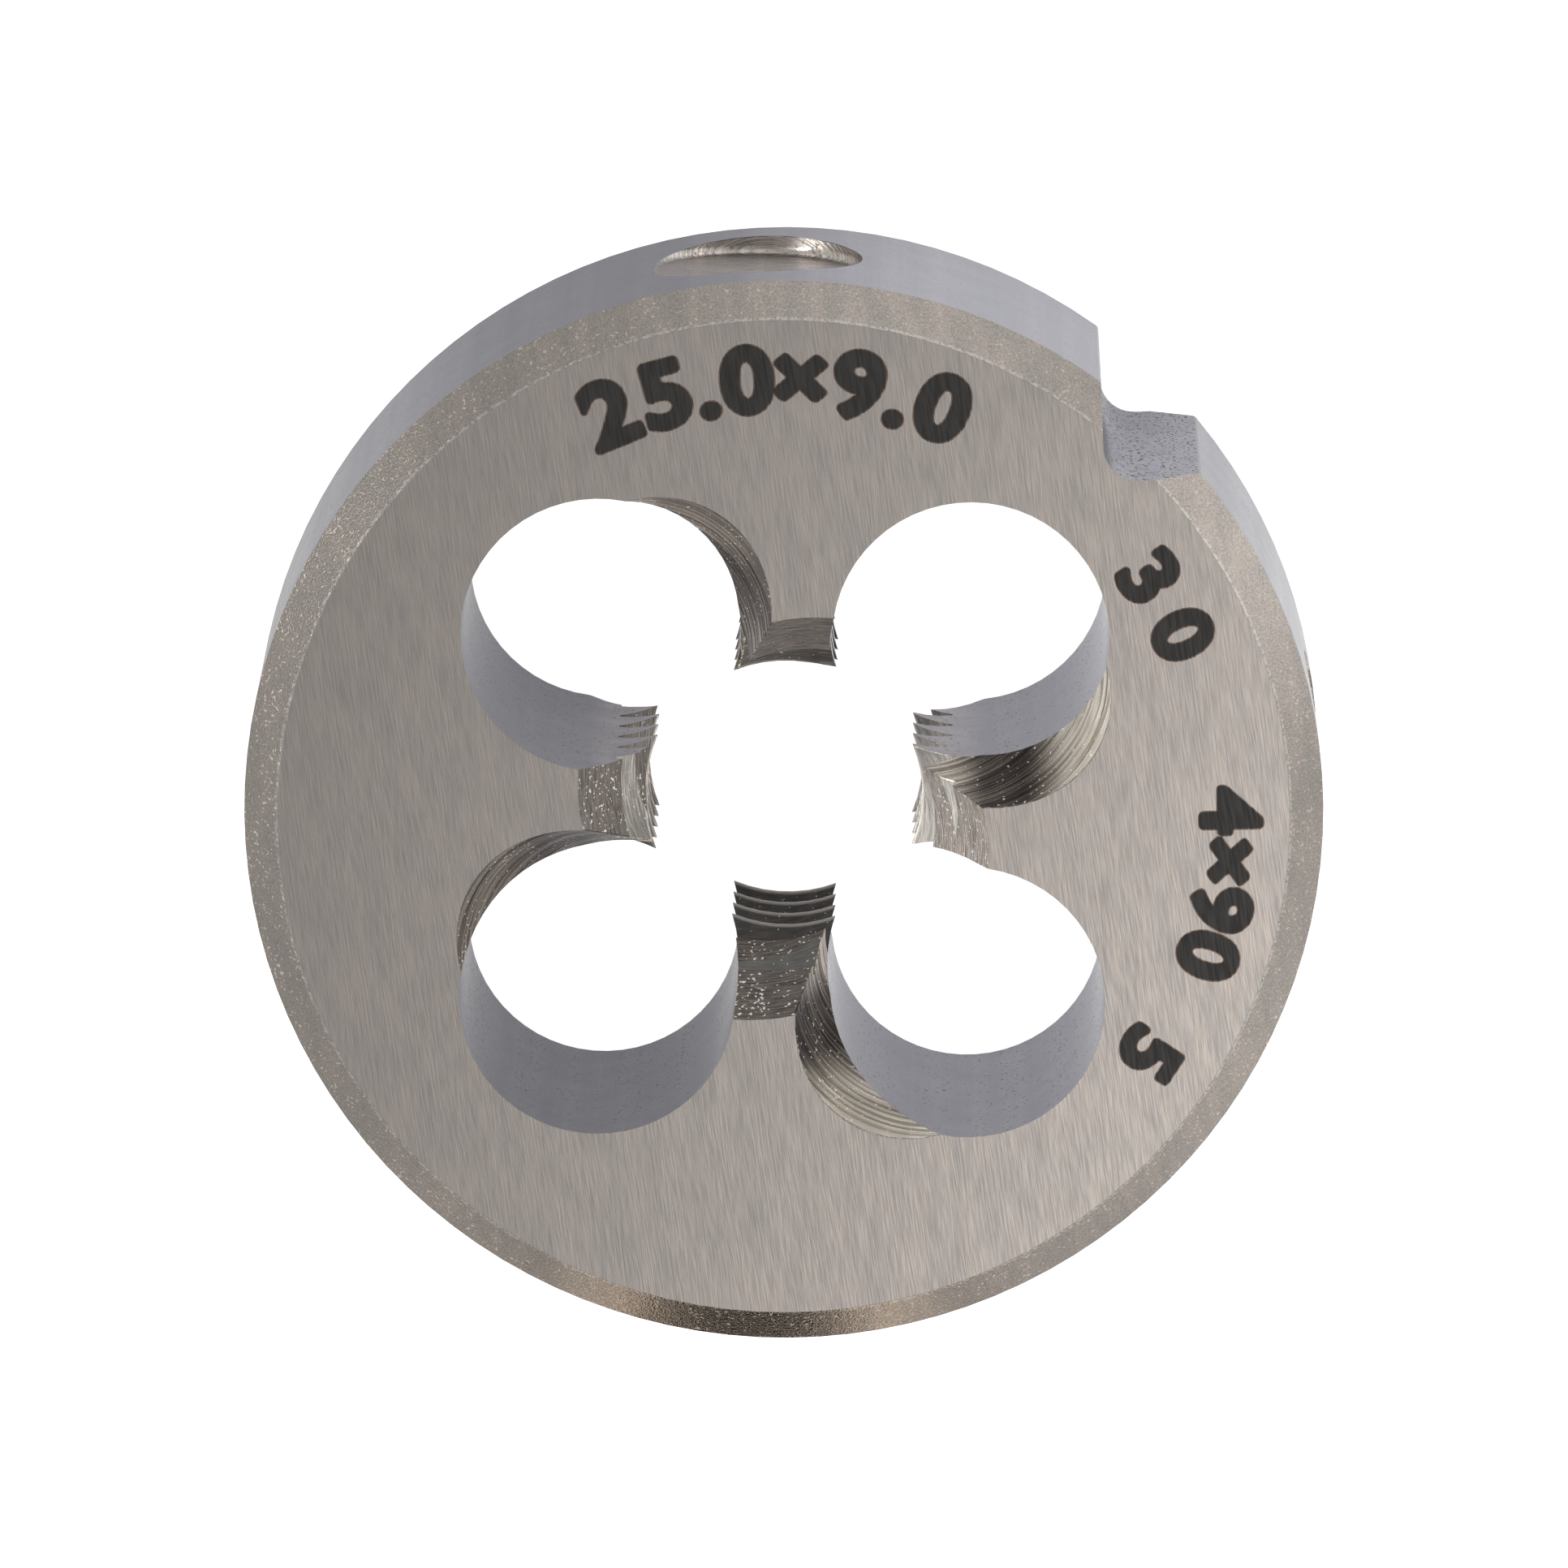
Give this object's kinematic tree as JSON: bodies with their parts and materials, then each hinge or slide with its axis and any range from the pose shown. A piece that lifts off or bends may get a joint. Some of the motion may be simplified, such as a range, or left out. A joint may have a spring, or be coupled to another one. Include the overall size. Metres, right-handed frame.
{
  "type": "round threading die",
  "caption": "Round threading die: a chamfered steel disc with a threaded centre hole, relieved cutting lands, round chip holes, a rim notch and screw dimples.",
  "frame": {"origin": "centre of the flat back face, on the thread axis", "axes": "+Z along the thread axis towards the marked front face, +Y through the top land, +X through the right land, with the rim notch between +X and +Y"},
  "size_m": [0.025, 0.025, 0.009],
  "materials": {
    "tool_steel": "ground and blasted, satin"
  },
  "bodies": {
    "root": {"die_body": "tool_steel"}
  },
  "joints": []
}
